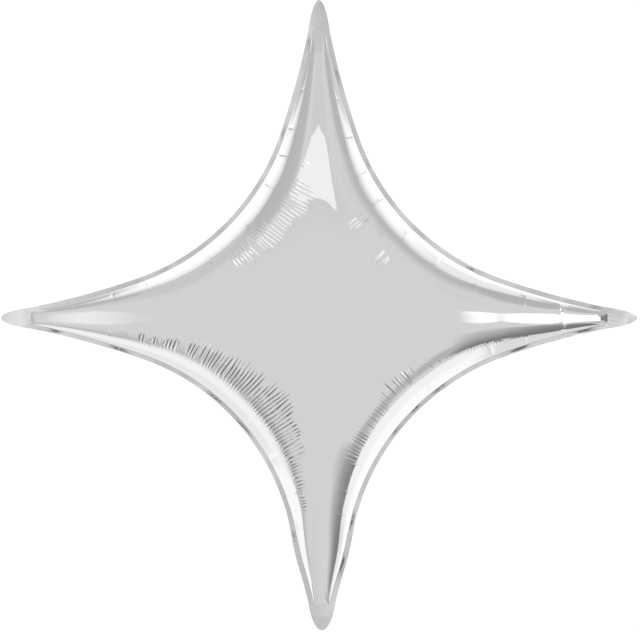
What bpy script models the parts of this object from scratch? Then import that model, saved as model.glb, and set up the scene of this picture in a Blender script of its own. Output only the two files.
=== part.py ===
"""Star foil balloon with four points, inflated, 0.98 m over its left and right points.

It is made as the real one is: two sheets of metallised film, front and back, heat sealed together
along a flat margin, with a solid sealed tab at three points and a neck with a flat valve at the fourth.
The star lies in the XZ plane with its neck down, and its front faces -Y. The origin is the star's centre.
"""

import math

import bmesh
import bpy

# Driving dimensions, in metres and degrees
POINT_REACH = 0.490         # centre to the end of the top, left and right points
NECK_REACH = 0.481          # centre to the end of the neck
HOLLOW_REACH = 0.2055       # centre to the nearest place on a hollow side
HOLLOW_RADIUS = 0.3544      # radius of a hollow side's middle stretch
ARM_RADIUS = 1.240          # radius of its two end stretches, along the arms
ARM_START_DEG = 25.8        # where the middle stretch meets the end ones, seen from its centre
LEVEL_DEPTH = 0.108         # height that the film levels out towards; it reaches 0.987 of this at the centre
LEVELLING_POWER = 1.5       # how sharply it turns from a round shoulder to the level middle
SEAL_WIDTH = 0.008          # the flat margin that the two sheets are sealed along
FILM_END = 0.445            # centre to where the gas space ends in a point
FILM_END_BULGE = 0.005      # how far that end bows out
POINT_TAPER = 0.012         # how quickly the film lifts off the flat tab
NOSE_RADIUS = 0.0035        # radius of a tab's very end
NECK_NOSE_RADIUS = 0.0052
NECK_WIDENING = 0.20        # how much wider the neck is than another point
NECK_WIDENING_SPAN = (0.290, 0.385)
NECK_LEAN = 0.0045          # how far the lower arm lies towards +X, past a slight bend below the centre
NECK_LEAN_SPAN = (0.025, 0.105)

# Thicknesses and clearances of the solids
FILM_WALL = 0.0015
SEAL_HALF_THICKNESS = 0.0010
CLEARANCE = 0.0003
SEAL_LAP = 0.0017           # how far the seal runs in under the film's edge
LAP_SINK = 0.0002           # how much lower the tabs lie where the film's end laps them
LAP_STEP = (0.0006, 0.0009) # where that lower part ends, outside the film
NECK_LEAF = 0.0005
VALVE_HALF_WIDTH = 0.0065
VALVE_HALF_THICKNESS = SEAL_HALF_THICKNESS - NECK_LEAF - CLEARANCE
VALVE_RECESS = 0.002        # from the neck's end up to the valve's mouth

# How finely the solids are divided
SIDE_STATIONS = 26
CAP_STATIONS = 4
FILM_ROWS = 7
ROW_CROWDING = 1.5          # above 1, the rows lie closer together at the seal

FOIL_COLOUR = (0.84, 0.85, 0.86, 1)
SEAL_COLOUR = (0.72, 0.73, 0.74, 1)
VALVE_COLOUR = (0.90, 0.91, 0.90, 1)

# The two circles that a hollow side follows, as (centre x, centre z, radius), for the half on the +X arm
ARM_START = math.radians(ARM_START_DEG)
HOLLOW_CENTRE = (HOLLOW_REACH + HOLLOW_RADIUS) / math.sqrt(2)
START_NORMAL = (-math.sin(math.pi / 4 - ARM_START), -math.cos(math.pi / 4 - ARM_START))
ARM_CENTRE_X = HOLLOW_CENTRE - (ARM_RADIUS - HOLLOW_RADIUS) * START_NORMAL[0]
ARM_CENTRE_Z = HOLLOW_CENTRE - (ARM_RADIUS - HOLLOW_RADIUS) * START_NORMAL[1]


def side_point(slope, inset):
    """A point of a hollow side's half on the +X arm, moved in by inset. slope is the side's angle to X."""
    if slope > math.pi / 4 - ARM_START:
        centre_x, centre_z, radius = HOLLOW_CENTRE, HOLLOW_CENTRE, HOLLOW_RADIUS
    else:
        centre_x, centre_z, radius = ARM_CENTRE_X, ARM_CENTRE_Z, ARM_RADIUS
    reach = radius + inset
    return centre_x - reach * math.sin(slope), centre_z - reach * math.cos(slope)


def arm_slope(x, inset):
    """The side's angle to X at distance x along the arm, on its end stretch."""
    return math.asin((ARM_CENTRE_X - x) / (ARM_RADIUS + inset))


CAP_START = FILM_END - FILM_END_BULGE
CAP_SLOPE = arm_slope(CAP_START, SEAL_WIDTH)
CAP_HALF_WIDTH = side_point(CAP_SLOPE, SEAL_WIDTH)[1]
JOIN_FAR, JOIN_NEAR = side_point(math.pi / 4 - ARM_START, SEAL_WIDTH)


def film_half_width(along):
    """Half the width of the gas space at this distance from the centre along an arm."""
    if along < CAP_HALF_WIDTH:
        return CAP_START + FILM_END_BULGE * math.sqrt(1 - (along / CAP_HALF_WIDTH) ** 2)
    if along < JOIN_NEAR:
        reach = ARM_RADIUS + SEAL_WIDTH
        return ARM_CENTRE_X - math.sqrt(reach ** 2 - (ARM_CENTRE_Z - along) ** 2)
    if along < JOIN_FAR:
        reach = HOLLOW_RADIUS + SEAL_WIDTH
        return HOLLOW_CENTRE - math.sqrt(reach ** 2 - (HOLLOW_CENTRE - along) ** 2)
    if along < CAP_START:
        reach = ARM_RADIUS + SEAL_WIDTH
        return ARM_CENTRE_Z - math.sqrt(reach ** 2 - (ARM_CENTRE_X - along) ** 2)
    past = min(1.0, (along - CAP_START) / FILM_END_BULGE)
    return CAP_HALF_WIDTH * math.sqrt(1 - past ** 2)


def mixed(low, high, share):
    return low + (high - low) * share


def film_height(x, z):
    """How far the inflated film stands off the seal. An arm is nearly round in section, the middle nearly level."""
    x, z = abs(x), abs(z)
    across_x_arm = film_half_width(x) ** 2 - z ** 2
    across_z_arm = film_half_width(z) ** 2 - x ** 2
    if min(across_x_arm, across_z_arm) < 1e-9:
        return 0.0
    room = 1 / (1 / across_x_arm + 1 / across_z_arm) / LEVEL_DEPTH ** 2
    height = LEVEL_DEPTH * math.sqrt(room) / (1 + room ** LEVELLING_POWER) ** (0.5 / LEVELLING_POWER)
    for along in (x, z):
        height *= 1 - math.exp(-max(0.0, FILM_END - along) / POINT_TAPER)
    return height


def eased(value, start, full):
    """0 before start, 1 past full, and smooth between them."""
    share = min(1.0, max(0.0, (value - start) / (full - start)))
    return share * share * (3 - 2 * share)


def placed(x, z):
    """A point of the even star, moved for the neck's extra width and for the lower arm's lean."""
    return x * (1 + NECK_WIDENING * eased(-z, *NECK_WIDENING_SPAN)) + NECK_LEAN * eased(-z, *NECK_LEAN_SPAN), z


def side_slopes(count, end_gap=0.0):
    """The slopes of evenly spaced stations on one half of a side, from its middle to where the cap starts."""
    hollow_length = (HOLLOW_RADIUS + SEAL_WIDTH) * ARM_START
    arm_length = (ARM_RADIUS + SEAL_WIDTH) * (math.pi / 4 - ARM_START - CAP_SLOPE) - end_gap
    slopes = []
    for i in range(count + 1):
        gone = (hollow_length + arm_length) * i / count
        if gone <= hollow_length:
            slopes.append(math.pi / 4 - gone / (HOLLOW_RADIUS + SEAL_WIDTH))
        else:
            turned = (gone - hollow_length) / (ARM_RADIUS + SEAL_WIDTH)
            slopes.append(math.pi / 4 - ARM_START - turned)
    return slopes


def cap_point(turn, inset=0.0):
    """A point of the blunt end of the gas space, from the arm's axis at turn 0 to the side at a quarter turn."""
    x = CAP_START + (FILM_END_BULGE - inset) * math.cos(turn) - inset * math.sin(CAP_SLOPE) * math.sin(turn)
    return x, (CAP_HALF_WIDTH - inset * math.cos(CAP_SLOPE)) * math.sin(turn)


def half_stations():
    """Pairs (edge point, spine point) for half a quadrant's film, from the middle of the side to the point's end."""
    pairs = []
    for slope in side_slopes(SIDE_STATIONS // 2):
        x, z = side_point(slope, SEAL_WIDTH)
        pairs.append(((x, z), (x - z * math.tan(slope), 0.0)))
    last_spine = pairs[-1][1]
    for i in range(1, CAP_STATIONS + 1):
        turn = math.pi / 2 * (1 - i / CAP_STATIONS)
        pairs.append((cap_point(turn), last_spine))
    return pairs


def new_material(name, colour, metallic, roughness):
    material = bpy.data.materials.new(name)
    material.use_nodes = True
    shader = material.node_tree.nodes["Principled BSDF"]
    shader.inputs["Base Color"].default_value = colour
    shader.inputs["Metallic"].default_value = metallic
    shader.inputs["Roughness"].default_value = roughness
    return material


def add_object(name, mesh_data, material):
    """Closes a bmesh up into a named object with its faces pointing out."""
    bmesh.ops.remove_doubles(mesh_data, verts=mesh_data.verts, dist=1e-6)
    bmesh.ops.recalc_face_normals(mesh_data, faces=mesh_data.faces)
    mesh = bpy.data.meshes.new(name)
    mesh_data.to_mesh(mesh)
    mesh_data.free()
    mesh.materials.append(material)
    mesh.shade_smooth()
    mesh.set_sharp_from_angle(angle=math.radians(40))
    made = bpy.data.objects.new(name, mesh)
    bpy.context.scene.collection.objects.link(made)
    return made


def add_face(mesh_data, corners):
    """A face on these vertices, leaving out repeats, or nothing if fewer than three are left."""
    kept = []
    for corner in corners:
        if all((corner.co - other.co).length > 1e-6 for other in kept):
            kept.append(corner)
    if len(kept) > 2:
        mesh_data.faces.new(kept)


def film_sheet():
    """One open sheet of film over the whole star, as heights above its edge."""
    sheet = bmesh.new()
    pairs = half_stations()
    for mirror_x in (1, -1):
        for mirror_z in (1, -1):
            for swapped in (False, True):
                grid = []
                for edge, spine in pairs:
                    column = []
                    for row in range(FILM_ROWS + 1):
                        share = (row / FILM_ROWS) ** ROW_CROWDING
                        x = mixed(edge[0], spine[0], share)
                        z = mixed(edge[1], spine[1], share)
                        height = film_height(x, z) if row else 0.0
                        if swapped:
                            x, z = z, x
                        x, z = placed(x * mirror_x, z * mirror_z)
                        column.append(sheet.verts.new((x, height, z)))
                    grid.append(column)
                for first, second in zip(grid, grid[1:]):
                    for row in range(FILM_ROWS):
                        add_face(sheet, (first[row], second[row], second[row + 1], first[row + 1]))
    bmesh.ops.remove_doubles(sheet, verts=sheet.verts, dist=1e-6)
    bmesh.ops.recalc_face_normals(sheet, faces=sheet.faces)
    highest = max(sheet.faces, key=lambda face: face.calc_center_median().y)
    if highest.normal.y < 0:
        bmesh.ops.reverse_faces(sheet, faces=sheet.faces)
    sheet.normal_update()
    return sheet


def add_panel(name, side, material):
    """A film sheet given its wall. side is -1 for the front sheet, which bulges towards -Y, and 1 for the back."""
    sheet = film_sheet()
    rim = {v for v in sheet.verts if v.is_boundary}
    outer = list(sheet.verts)
    inner = {}
    for vert in outer:
        place = vert.co - vert.normal * FILM_WALL
        place.y = 0.0 if vert in rim else max(place.y, 0.0)
        inner[vert] = sheet.verts.new(place)
    for face in list(sheet.faces):
        sheet.faces.new([inner[v] for v in reversed(face.verts)])
    for edge in [e for e in sheet.edges if e.verts[0] in rim and len(e.link_faces) == 1]:
        a, b = edge.verts
        if a in inner and b in inner:
            sheet.faces.new((a, b, inner[b], inner[a]))
    seat = SEAL_HALF_THICKNESS + CLEARANCE
    for vert in sheet.verts:
        vert.co.y = side * (vert.co.y + seat)
    return add_object(name, sheet, material)


def add_plate(name, rings, material):
    """A flat plate. rings is a list of rows across it, as (its (x, z) points, low Y, high Y)."""
    plate = bmesh.new()
    low = [[plate.verts.new((x, low_y, z)) for x, z in points] for points, low_y, high_y in rings]
    high = [[plate.verts.new((x, high_y, z)) for x, z in points] for points, low_y, high_y in rings]
    last_ring, last_point = len(rings) - 1, len(rings[0][0]) - 1
    for layer in (low, high):
        for i in range(last_ring):
            for k in range(last_point):
                add_face(plate, (layer[i][k], layer[i][k + 1], layer[i + 1][k + 1], layer[i + 1][k]))
    for i in (0, last_ring):
        for k in range(last_point):
            add_face(plate, (low[i][k], low[i][k + 1], high[i][k + 1], high[i][k]))
    for k in (0, last_point):
        for i in range(last_ring):
            add_face(plate, (low[i][k], low[i + 1][k], high[i + 1][k], high[i][k]))
    return add_object(name, plate, material)


def add_seam(name, mirror_x, mirror_z, material):
    """The sealed margin along one hollow side, from one point's tab to the next."""
    rings = []
    slopes = side_slopes(SIDE_STATIONS // 2, end_gap=CLEARANCE)
    for inset in (0.0, SEAL_WIDTH + SEAL_LAP):
        near_x = [side_point(slope, inset) for slope in slopes]
        near_z = [(z, x) for x, z in near_x[1:]]
        ring = [placed(x * mirror_x, z * mirror_z) for x, z in near_z[::-1] + near_x]
        rings.append((ring, -SEAL_HALF_THICKNESS, SEAL_HALF_THICKNESS))
    return add_plate(name, rings, material)


def tab_outline(reach, nose_radius):
    """The cut outline of a tab on the +X arm, from its seam to the arm's axis: part of an ellipse."""
    root_x, root_z = side_point(CAP_SLOPE, 0.0)
    length = reach - root_x
    shape = (2 * nose_radius * length - root_z ** 2) / length ** 2
    half_length = nose_radius / shape
    half_width = nose_radius / math.sqrt(shape)
    root_turn = math.acos(1 - length / half_length)
    outline = []
    for i in range(2 * CAP_STATIONS + 1):
        turn = root_turn * (1 - i / (2 * CAP_STATIONS))
        outline.append((reach - half_length * (1 - math.cos(turn)), half_width * math.sin(turn)))
    return outline


def add_tab(name, reach, nose_radius, quarter_turns, low_y, high_y, material):
    """The flat end of an arm, quarter_turns from +X towards +Z: under the film's end, a small step, then its face."""
    turns = [math.pi / 2 * (1 - i / (2 * CAP_STATIONS)) for i in range(2 * CAP_STATIONS + 1)]
    rows = [
        ([cap_point(turn, SEAL_LAP) for turn in turns], LAP_SINK),
        ([cap_point(turn, -LAP_STEP[0]) for turn in turns], LAP_SINK),
        ([cap_point(turn, -LAP_STEP[1]) for turn in turns], 0.0),
        (tab_outline(reach, nose_radius), 0.0),
    ]
    rings = []
    for half, sink in rows:
        points = half + [(x, -z) for x, z in reversed(half[:-1])]
        for _ in range(quarter_turns):
            points = [(-z, x) for x, z in points]
        points = [placed(x, z) for x, z in points]
        outside_y = SEAL_HALF_THICKNESS - sink
        rings.append((points, max(low_y, -outside_y), min(high_y, outside_y)))
    return add_plate(name, rings, material)


def add_valve(material):
    """The flat valve sleeve between the neck's two leaves, from near the neck's end up to the gas space."""
    half = VALVE_HALF_WIDTH
    rings = []
    for z in (-(NECK_REACH - VALVE_RECESS), -(CAP_START - SEAL_LAP)):
        points = [(NECK_LEAN - half, z), (NECK_LEAN + half, z)]
        rings.append((points, -VALVE_HALF_THICKNESS, VALVE_HALF_THICKNESS))
    return add_plate("valve_sleeve", rings, material)


def build():
    for old in list(bpy.data.objects):
        bpy.data.objects.remove(old)
    foil = new_material("foil_film", FOIL_COLOUR, 1.0, 0.12)
    seal = new_material("sealed_film", SEAL_COLOUR, 1.0, 0.30)
    valve = new_material("valve_film", VALVE_COLOUR, 0.0, 0.35)
    add_panel("front_panel", -1, foil)
    add_panel("back_panel", 1, foil)
    for name, mirror_x, mirror_z in (
        ("seam_upper_right", 1, 1),
        ("seam_upper_left", -1, 1),
        ("seam_lower_left", -1, -1),
        ("seam_lower_right", 1, -1),
    ):
        add_seam(name, mirror_x, mirror_z, seal)
    for name, quarter_turns in (("tab_right", 0), ("tab_top", 1), ("tab_left", 2)):
        add_tab(name, POINT_REACH, NOSE_RADIUS, quarter_turns, -SEAL_HALF_THICKNESS, SEAL_HALF_THICKNESS, seal)
    leaf_inside = SEAL_HALF_THICKNESS - NECK_LEAF
    add_tab("neck_leaf_front", NECK_REACH, NECK_NOSE_RADIUS, 3, -SEAL_HALF_THICKNESS, -leaf_inside, seal)
    add_tab("neck_leaf_back", NECK_REACH, NECK_NOSE_RADIUS, 3, leaf_inside, SEAL_HALF_THICKNESS, seal)
    add_valve(valve)


build()
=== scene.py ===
"""The looks of a four-point star foil balloon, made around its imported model: film, margins, tabs and neck."""

import itertools
import math

import bmesh
import bpy
import numpy as np
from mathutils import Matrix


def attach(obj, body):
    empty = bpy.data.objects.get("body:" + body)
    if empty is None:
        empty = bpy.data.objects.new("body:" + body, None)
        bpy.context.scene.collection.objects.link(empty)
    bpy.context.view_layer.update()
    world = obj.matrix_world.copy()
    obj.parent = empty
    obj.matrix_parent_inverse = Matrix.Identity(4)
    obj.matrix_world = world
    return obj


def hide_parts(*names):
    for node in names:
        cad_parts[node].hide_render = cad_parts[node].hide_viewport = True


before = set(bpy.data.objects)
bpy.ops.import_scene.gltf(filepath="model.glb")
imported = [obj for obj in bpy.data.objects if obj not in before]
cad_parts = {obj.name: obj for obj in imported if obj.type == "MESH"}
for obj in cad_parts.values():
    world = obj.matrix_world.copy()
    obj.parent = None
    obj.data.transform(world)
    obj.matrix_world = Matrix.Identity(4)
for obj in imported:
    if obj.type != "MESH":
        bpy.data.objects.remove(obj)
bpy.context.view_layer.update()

# Film panels
# The front and back are two star-shaped sheets of thin nylon film with a mirror-bright metal coat. Gas swells
# them into a level middle and round arms. Above each hollow side the film has length to spare, so it gathers
# into fine ribs that stand square to the seam, with a sharper crease every few centimetres.

HOLLOW_REACH = 0.2055       # centre to the nearest place on a hollow side
HOLLOW_RADIUS = 0.3544      # radius of a hollow side's middle stretch
ARM_RADIUS = 1.240          # radius of its two end stretches, along the arms
ARM_START = math.radians(25.8)  # where the middle stretch meets the end ones, seen from its centre
SEAL_WIDTH = 0.0060         # the welded margin that shows outside the gas space
FILM_END = 0.445            # centre to where the gas space ends in a point
FILM_END_BULGE = 0.005      # how far that end bows out
POINT_TAPER = 0.012         # how quickly the film lifts off the flat tab
LEVEL_DEPTH = 0.108         # height that the film levels out towards
LEVELLING_POWER = 1.5       # how sharply it turns from a round shoulder to the level middle
NECK_WIDENING = 0.20        # how much wider the neck is than another point
NECK_WIDENING_SPAN = (0.290, 0.385)
NECK_LEAN = 0.0045          # how far the lower arm lies towards +X
NECK_LEAN_SPAN = (0.025, 0.105)

FILM_SEAT = 0.0004          # from the star's middle plane to the film's welded edge
FILM_WALL = 0.0012
RIBBED_LENGTH = 0.215       # how far the finely divided stretch runs from a side's middle
RIBBED_STATIONS = 310
ARM_STATIONS = 84
END_STATIONS = 4
FILM_ROWS = 25
ROW_CROWDING = 1.2          # above 1, the rows lie closer together at the seam
WALL_SHARE = 0.4            # the wall is at most this share of the film's height
INNER_STATION_STEP = 4      # how much more coarsely the film's inner face is divided
INNER_ROW_STEP = 2
JOIN_BLEND = 0.030          # over what length the arcs of a side ease into each other
WELD_REACH = 2e-6           # points closer than this are one
MILLIMETRES = 1000          # in a metre, for the tables that are in millimetres

HOLLOW_CENTRE = (HOLLOW_REACH + HOLLOW_RADIUS) / math.sqrt(2)
JOIN_SLOPE = math.pi / 4 - ARM_START
ARM_CENTRE_X = HOLLOW_CENTRE + (ARM_RADIUS - HOLLOW_RADIUS) * math.sin(JOIN_SLOPE)
ARM_CENTRE_Z = HOLLOW_CENTRE + (ARM_RADIUS - HOLLOW_RADIUS) * math.cos(JOIN_SLOPE)


def side_point(slope, inset):
    """Points of a hollow side's half on the +X arm, moved in by inset. slope is the side's angle to X."""
    slope = np.asarray(slope, float)
    hollow = slope > JOIN_SLOPE
    reach = np.where(hollow, HOLLOW_RADIUS, ARM_RADIUS) + inset
    x = np.where(hollow, HOLLOW_CENTRE, ARM_CENTRE_X) - reach * np.sin(slope)
    z = np.where(hollow, HOLLOW_CENTRE, ARM_CENTRE_Z) - reach * np.cos(slope)
    return x, z


END_START = FILM_END - FILM_END_BULGE
END_SLOPE = math.asin((ARM_CENTRE_X - END_START) / (ARM_RADIUS + SEAL_WIDTH))
END_HALF_WIDTH = float(side_point(END_SLOPE, SEAL_WIDTH)[1])
HOLLOW_LENGTH = (HOLLOW_RADIUS + SEAL_WIDTH) * ARM_START
SIDE_HALF_LENGTH = HOLLOW_LENGTH + (ARM_RADIUS + SEAL_WIDTH) * (JOIN_SLOPE - END_SLOPE)
JOIN_FAR, JOIN_NEAR = (float(value) for value in side_point(JOIN_SLOPE + 1e-9, SEAL_WIDTH))


def side_slope(along):
    """The side's angle to X at distances along its weld, from the side's middle towards the X arm's point."""
    return np.where(along < HOLLOW_LENGTH, math.pi / 4 - along / (HOLLOW_RADIUS + SEAL_WIDTH),
                    JOIN_SLOPE - (along - HOLLOW_LENGTH) / (ARM_RADIUS + SEAL_WIDTH))


def smooth_step(share):
    share = np.clip(share, 0.0, 1.0)
    return share * share * (3 - 2 * share)


def film_half_width(along):
    """Half the gas space's width at distances from the centre along an arm, with the arcs eased together."""
    arm = ARM_RADIUS + SEAL_WIDTH
    hollow = HOLLOW_RADIUS + SEAL_WIDTH
    near = ARM_CENTRE_X - np.sqrt(np.maximum(arm ** 2 - (ARM_CENTRE_Z - along) ** 2, 0))
    middle = HOLLOW_CENTRE - np.sqrt(np.maximum(hollow ** 2 - (HOLLOW_CENTRE - along) ** 2, 0))
    far = ARM_CENTRE_Z - np.sqrt(np.maximum(arm ** 2 - (ARM_CENTRE_X - along) ** 2, 0))
    to_middle = smooth_step((along - JOIN_NEAR) / JOIN_BLEND + 0.5)
    to_far = smooth_step((along - JOIN_FAR) / JOIN_BLEND + 0.5)
    width = near + (middle - near) * to_middle
    width = width + (far - width) * to_far
    blunt = END_START + FILM_END_BULGE * np.sqrt(np.maximum(1 - (along / END_HALF_WIDTH) ** 2, 0))
    width = np.where(along < END_HALF_WIDTH, blunt, width)
    past = np.clip((along - END_START) / FILM_END_BULGE, 0, 1)
    return np.where(along > END_START, END_HALF_WIDTH * np.sqrt(1 - past ** 2), width)


def film_height(x, z):
    """How far the inflated film stands off the seal: round over an arm, nearly level in the middle."""
    x, z = np.abs(x), np.abs(z)
    across_x_arm = np.maximum(film_half_width(x) ** 2 - z ** 2, 1e-9)
    across_z_arm = np.maximum(film_half_width(z) ** 2 - x ** 2, 1e-9)
    room = 1 / (1 / across_x_arm + 1 / across_z_arm) / LEVEL_DEPTH ** 2
    height = LEVEL_DEPTH * np.sqrt(room) / (1 + room ** LEVELLING_POWER) ** (0.5 / LEVELLING_POWER)
    for along in (x, z):
        height = height * (1 - np.exp(-np.maximum(FILM_END - along, 0) / POINT_TAPER))
    return height


def film_normal(x, z):
    """Unit normals of the film at these places, as X, Y and Z arrays, with Y pointing away from the seal."""
    step = 2e-5
    slope_x = (film_height(x + step, z) - film_height(x - step, z)) / (2 * step)
    slope_z = (film_height(x, z + step) - film_height(x, z - step)) / (2 * step)
    length = np.sqrt(slope_x ** 2 + 1 + slope_z ** 2)
    return -slope_x / length, 1 / length, -slope_z / length


def placed(x, z):
    """X with the neck's extra width and the lower arm's lean, which both grow over a stretch of that arm."""
    start, full = NECK_WIDENING_SPAN
    wider = NECK_WIDENING * smooth_step((-z - start) / (full - start))
    bend, leaning = NECK_LEAN_SPAN
    return x * (1 + wider) + NECK_LEAN * smooth_step((-z - bend) / (leaning - bend))


def film_grid():
    """Half of one hollow side's film, from the side's middle to the arm's end, as arrays of stations by rows.

    Each station is a line square to the seam, from its edge to the arm's spine. Returns X, Z, the distance
    along the side from its middle and the distance in from the seam.
    """
    ribbed = np.linspace(0, RIBBED_LENGTH, RIBBED_STATIONS + 1)
    plain = np.linspace(RIBBED_LENGTH, SIDE_HALF_LENGTH, ARM_STATIONS + 1)[1:]
    along = np.concatenate([ribbed, plain])
    slope = side_slope(along)
    edge_x, edge_z = side_point(slope, SEAL_WIDTH)
    spine_x = edge_x - edge_z * np.tan(slope)
    turn = math.pi / 2 * (1 - np.arange(1, END_STATIONS + 1) / END_STATIONS)
    edge_x = np.concatenate([edge_x, END_START + FILM_END_BULGE * np.cos(turn)])
    edge_z = np.concatenate([edge_z, END_HALF_WIDTH * np.sin(turn)])
    spine_x = np.concatenate([spine_x, np.full(END_STATIONS, spine_x[-1])])
    along = np.concatenate([along, SIDE_HALF_LENGTH + END_HALF_WIDTH * (1 - np.sin(turn))])
    spine_x[0] = 0.0
    crowded = (np.arange(FILM_ROWS + 1) / FILM_ROWS) ** ROW_CROWDING
    share = 1 - np.cos(math.pi / 2 * crowded)
    share[-1] = 1.0
    x = edge_x[:, None] + (spine_x - edge_x)[:, None] * share
    z = edge_z[:, None] - edge_z[:, None] * share
    inward = np.hypot(x - edge_x[:, None], z - edge_z[:, None])
    return x, z, np.repeat(along[:, None], FILM_ROWS + 1, axis=1), inward


# Where the film gathers into ribs on each hollow side. A side's key is its signs to the right and up.
# Along runs from the side's middle, positive to the left or right point, negative to the top point or neck.
# Columns: along, in from the weld where the ribs start, where they end, all in millimetres; strength
RIB_BANDS = {
    (-1, -1): (
        (-205, 18, 26, 0), (-173, 22, 28, 1), (-140, 26, 38, 2), (-116, 28, 46, 3), (-83, 30, 60, 3),
        (-53, 30, 76, 3), (-18, 31, 88, 3), (3, 32, 90, 3), (22, 32, 85, 3), (51, 31, 74, 3),
        (74, 31, 66, 2.5), (95, 31, 58, 2), (115, 27, 46, 2), (133, 25, 37, 1.5), (158, 22, 30, 0.8),
        (212, 18, 26, 0.3), (240, 18, 26, 0),
    ),
    (-1, 1): (
        (-150, 46, 62, 0), (-138, 46, 63, 0.4), (-113, 44, 69, 0.5), (-82, 42, 78, 1.2), (-51, 48, 75, 1),
        (-24, 48, 82, 1), (5, 44, 75, 1), (28, 39, 68, 0.9), (42, 38, 64, 0),
    ),
    (1, 1): (
        (-64, 46, 60, 0), (-60, 52, 67, 4), (-46, 52, 67, 4), (-42, 46, 60, 0), (-36, 34, 46, 0.22),
        (-14, 34, 50, 0.22), (-10, 52, 78, 0), (-6, 53, 86, 1.9), (10, 60, 78, 1.9), (14, 58, 76, 0),
        (60, 32, 44, 0.1), (100, 30, 40, 0),
    ),
    (1, -1): (
        (-150, 30, 45, 0), (-100, 28, 41, 0.16), (-60, 28, 47, 0.32), (-20, 30, 53, 0.36),
        (-4, 32, 84, 0.68), (36, 32, 84, 0.68), (45, 28, 60, 0.3), (90, 22, 30, 0.2), (120, 18, 26, 0.25),
        (220, 11, 18, 0.25), (300, 10, 16, 0),
    ),
}
RIB_START_SOFT = 0.004
RIB_END_SOFT = 0.016
SPINE_CALM = 0.012

# Where the side's spare length gathers into a pucker. Columns: along in millimetres, depth
PUCKERS = {
    (-1, -1): (
        (-330, 0.1), (-275, 0.1), (-215, 0.2), (-158, 0.4), (-98, 0.9), (-31, 0.7), (19, 0.8), (50, 0.5),
        (95, 0.8), (150, 0.5), (214, 0.6), (270, 0.4), (330, 0.4),
    ),
    (-1, 1): (
        (-300, 0.1), (-240, 0.1), (-180, 0.2), (-135, 0.7), (-87, 1.1), (-21, 1.1), (51, 0.9), (98, 0.4),
        (152, 0.2), (205, 0.1), (268, 0.1), (325, 0.1),
    ),
    (1, 1): (
        (-300, 0.1), (-225, 0.1), (-165, 0.2), (-109, 0.8), (-59, 1.4), (3, 1.1), (63, 0.9), (130, 0.5),
        (206, 0.5), (264, 1.6), (320, 0.5),
    ),
    (1, -1): (
        (-320, 0.1), (-250, 0.1), (-195, 0.2), (-158, 0.3), (-114, 0.8), (-70, 0.4), (-25, 0.8), (39, 0.9),
        (92, 0.4), (150, 0.5), (206, 0.4), (266, 1), (325, 0.4),
    ),
}
PUCKER_SLANT = 0.12
PUCKER_SPREAD = 0.010
PUCKER_SPINE_SHARE = 0.35
PUCKER_SEED = 41


def film_slack(side_key, along, inward, reach):
    """How far inside the ribbed band the film lies, from 0 to 1, and how strong its ribs are there."""
    *lengths, strengths = np.array(RIB_BANDS[side_key]).T
    places, starts, ends = (length / MILLIMETRES for length in lengths)
    start, end = np.interp(along, places, starts), np.interp(along, places, ends)
    strength = np.interp(along, places, strengths)
    begun = smooth_step((inward - start) / RIB_START_SOFT)
    not_ended = np.clip((end - inward) / RIB_END_SOFT + 0.5, 0, 1)
    return begun * not_ended * smooth_step((reach - inward) / SPINE_CALM), strength


def side_puckers(side_key, along, inward):
    """The distance from the nearest pucker, that pucker's depth, and all of them spread out softly."""
    places, depths = np.array(PUCKERS[side_key]).T
    places = places / MILLIMETRES
    draw = np.random.default_rng(PUCKER_SEED + 2 * side_key[0] + side_key[1])
    slants = PUCKER_SLANT * draw.uniform(-1, 1, len(places))
    distances = np.abs(along[..., None] - places - slants * inward[..., None])
    nearest = distances.argmin(axis=-1)
    spread = (depths * np.exp(-distances / PUCKER_SPREAD)).sum(axis=-1)
    return distances.min(axis=-1), depths[nearest], spread


def eighth_faces(outer_ids, inner_ids, inner_stations):
    """The faces of an eighth of the star's film: its outer face, its inner one and the strip between them."""
    faces = []
    for i in range(outer_ids.shape[0] - 1):
        for k in range(outer_ids.shape[1] - 1):
            faces.append((outer_ids[i, k], outer_ids[i + 1, k], outer_ids[i + 1, k + 1], outer_ids[i, k + 1]))
    for i in range(len(inner_stations) - 1):
        rim = [outer_ids[n, 0] for n in range(inner_stations[i + 1], inner_stations[i] - 1, -1)]
        faces.append((*rim, inner_ids[i, 0], inner_ids[i + 1, 0]))
        for k in range(inner_ids.shape[1] - 1):
            faces.append((inner_ids[i + 1, k], inner_ids[i, k], inner_ids[i, k + 1], inner_ids[i + 1, k + 1]))
    return faces


def store(mesh, name, values):
    """Keeps a number for each point of a mesh under this name."""
    layer = mesh.attributes.new(name, "FLOAT", "POINT")
    layer.data.foreach_set("value", np.asarray(values, np.float32))


def in_scene(name, data):
    """A new object in the scene with this name, and this mesh or camera."""
    made = bpy.data.objects.new(name, data)
    bpy.context.scene.collection.objects.link(made)
    return made


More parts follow.
